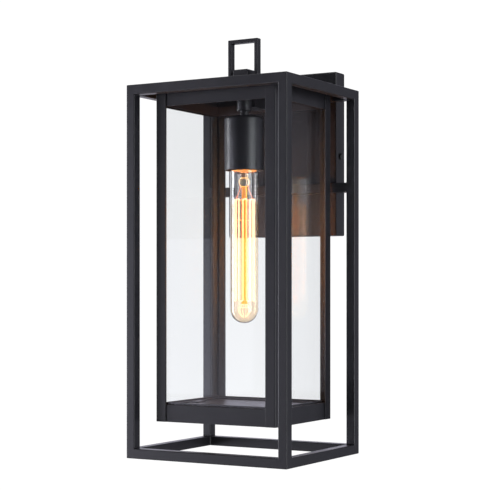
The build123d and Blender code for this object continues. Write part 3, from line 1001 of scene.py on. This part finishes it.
def lamp_hooks():
    """The hooks that hold the cage under the rod, and the ring that joins them."""
    ring, ring_z, count = 0.0062, ROD_FOOT - 0.0040, 6
    hooks = [loop_wire(ring, ring_z)]
    for i in range(count):
        turn = 360 / count * i + 15
        hook = [around(0.0022, turn, ROD_FOOT + 0.0004), around(ring, turn, ring_z)]
        hook += [around(0.0070, turn, ring_z - 0.0031), around(0.0042, turn, ring_z - 0.0081)]
        hooks.append(hook + [around(0.0015, turn + 20, ring_z - 0.0101)])
    wire("lamp_hooks", hooks, 0.00026, "lamp_wire", "lamp", (), hook_painted_glow)


lamp_envelope()
lamp_cap()
lamp_stem()
lamp_shield()
lamp_filament()
lamp_spiders()
lamp_leads()
press_rim_painted_highlight()
lamp_hooks()


# ---- studio: pale floor, soft lights, camera ----
# The camera's heading.
HEADING = (-0.5048, 0.8632, 0.0)
LIGHT_TARGET = (0, AXIS_Y, -0.13)
FLOOR_CENTRE, FLOOR_RADIUS = (0, -0.1, -1.05), 4.0
WHITE_LEVEL, ROOM_LEVEL = 1.05, 0.06
# Soft patches of the room: the direction of each, how tall it is for its width, the cosines
# of its edge and of its heart, and its strength.
SOFT_PATCHES = (
    (HEADING, 3.0, 0.80, 0.95, 1.0),
    ((-0.82, -0.44, -0.36), 1.2, 0.84, 1.0, 8.0),
    ((-0.46, -0.80, -0.42), 1.0, 0.86, 1.0, 0.9),
    ((0.80, 0.60, 0.0), 1.6, 0.88, 1.0, 0.8),
    ((0.0, 0.0, -1.0), 1.0, 0.0, 0.9, 0.35),
)
# Area lights: name, place, width and height, power in watts, colour.
AREA_LIGHTS = (
    ("left", (-1.15, -0.28, -0.16), (0.30, 1.3), 9.5, (1.0, 1.0, 1.0)),
    ("right", (1.25, -0.38, -0.10), (0.75, 1.4), 16, (0.93, 0.97, 1.0)),
    ("top", (-0.3, -0.6, 1.6), (1.2, 1.2), 10, (1.0, 1.0, 1.0)),
)
LAMP_LIGHT_LEVELS = (-0.075, -0.105, -0.135)


def pale_floor():
    """White paper that stays pale where the camera sees it, however little light falls there."""
    n = Nodes(bpy.data.materials.new("floor_paper"))
    paper = n.add("ShaderNodeBsdfDiffuse")
    tone = n.ramp(n.noise(4), ((0.86, 0.86, 0.86), (0.90, 0.90, 0.90)))
    n.link(tone, paper.inputs["Color"])
    lit = n.add("ShaderNodeEmission")
    n.link(tone, lit.inputs["Color"])
    path = n.add("ShaderNodeLightPath")
    mix = n.add("ShaderNodeMixShader")
    n.link(path.outputs["Is Camera Ray"], mix.inputs["Fac"])
    n.link(paper.outputs["BSDF"], mix.inputs[1])
    n.link(lit.outputs["Emission"], mix.inputs[2])
    n.link(mix.outputs["Shader"], n.output.inputs["Surface"])
    return n.owner


def stage_floor():
    """A wide disc of pale paper, well below the lantern."""
    bm = bmesh.new()
    where = Matrix.Translation(FLOOR_CENTRE)
    bmesh.ops.create_circle(bm, cap_ends=True, segments=96, radius=FLOOR_RADIUS, matrix=where)
    mesh = mesh_of("floor", bm)
    mesh.materials.append(pale_floor())
    placed("floor", mesh)


def room():
    """A dim room with soft patches, which is plain white where it is seen directly or through glass."""
    n = Nodes(bpy.data.worlds.new("studio"), "ShaderNodeOutputWorld")
    bpy.context.scene.world = n.owner
    base = n.add("ShaderNodeValue")
    base.outputs["Value"].default_value = ROOM_LEVEL
    level = base.outputs["Value"]
    for aim, tall, edge, heart, strength in SOFT_PATCHES:
        flatten = Vector((1, 1, 1 / tall))
        squash = n.add("ShaderNodeVectorMath", operation="MULTIPLY")
        squash.inputs[1].default_value = flatten
        unit = n.add("ShaderNodeVectorMath", operation="NORMALIZE")
        toward = n.add("ShaderNodeVectorMath", operation="DOT_PRODUCT")
        toward.inputs[1].default_value = (Vector(aim) * flatten).normalized()
        n.link(n.coordinates["Generated"], squash.inputs[0])
        n.link(squash.outputs["Vector"], unit.inputs[0])
        n.link(unit.outputs["Vector"], toward.inputs[0])
        patch = n.add("ShaderNodeMapRange", interpolation_type="SMOOTHSTEP")
        patch.inputs["From Min"].default_value = edge
        patch.inputs["From Max"].default_value = heart
        patch.inputs["To Max"].default_value = strength
        n.link(toward.outputs["Value"], patch.inputs["Value"])
        both = n.add("ShaderNodeMath", operation="ADD")
        n.link(level, both.inputs[0])
        n.link(patch.outputs["Result"], both.inputs[1])
        level = both.outputs["Value"]
    dim = n.add("ShaderNodeBackground")
    dim.inputs["Color"].default_value = (0.94, 0.93, 1.10, 1)
    n.link(level, dim.inputs["Strength"])
    white = n.add("ShaderNodeBackground")
    white.inputs["Color"].default_value = (1, 1, 1, 1)
    white.inputs["Strength"].default_value = WHITE_LEVEL
    path = n.add("ShaderNodeLightPath")
    seen = n.add("ShaderNodeMath", operation="MAXIMUM")
    n.link(path.outputs["Is Camera Ray"], seen.inputs[0])
    n.link(path.outputs["Is Transmission Ray"], seen.inputs[1])
    mix = n.add("ShaderNodeMixShader")
    n.link(seen.outputs["Value"], mix.inputs["Fac"])
    n.link(dim.outputs["Background"], mix.inputs[1])
    n.link(white.outputs["Background"], mix.inputs[2])
    n.link(mix.outputs["Shader"], n.output.inputs["Surface"])


def area_lights():
    """Soft lights that stand round the lantern and face it."""
    for name, place, size, power, colour in AREA_LIGHTS:
        light = bpy.data.lights.new(name, "AREA")
        light.shape = "RECTANGLE"
        light.size, light.size_y = size
        light.energy = power
        light.color = colour
        obj = placed(name, light)
        obj.location = place
        aim = Vector(LIGHT_TARGET) - Vector(place)
        obj.rotation_euler = aim.to_track_quat("-Z", "Y").to_euler()
        obj.visible_camera = False


def lamp_lights():
    """Small warm lights inside the cage, which move with the lamp and light what is around it."""
    for z in LAMP_LIGHT_LEVELS:
        light = bpy.data.lights.new("lamp_glow", "POINT")
        light.energy = 1.4
        light.color = (1.0, 0.58, 0.26)
        light.shadow_soft_size = 0.007
        obj = placed("lamp_glow", light)
        obj.location = (0, AXIS_Y, z)
        obj.visible_camera = obj.visible_glossy = obj.visible_transmission = False
        obj.parent = frame["bodies"]["lamp"]


def camera():
    """A level camera with a long lens, shifted up a little so that uprights stay upright."""
    data = bpy.data.cameras.new("camera")
    data.sensor_width = 36
    data.lens = 105.55
    data.shift_y = 0.0933
    data.clip_start = 0.05
    obj = placed("camera", data)
    obj.location = (0.7696, -1.4156, -0.1489)
    obj.rotation_euler = Vector(HEADING).to_track_quat("-Z", "Y").to_euler()
    bpy.context.scene.camera = obj
    bpy.context.scene.view_settings.view_transform = "Standard"


stage_floor()
room()
area_lights()
lamp_lights()
camera()
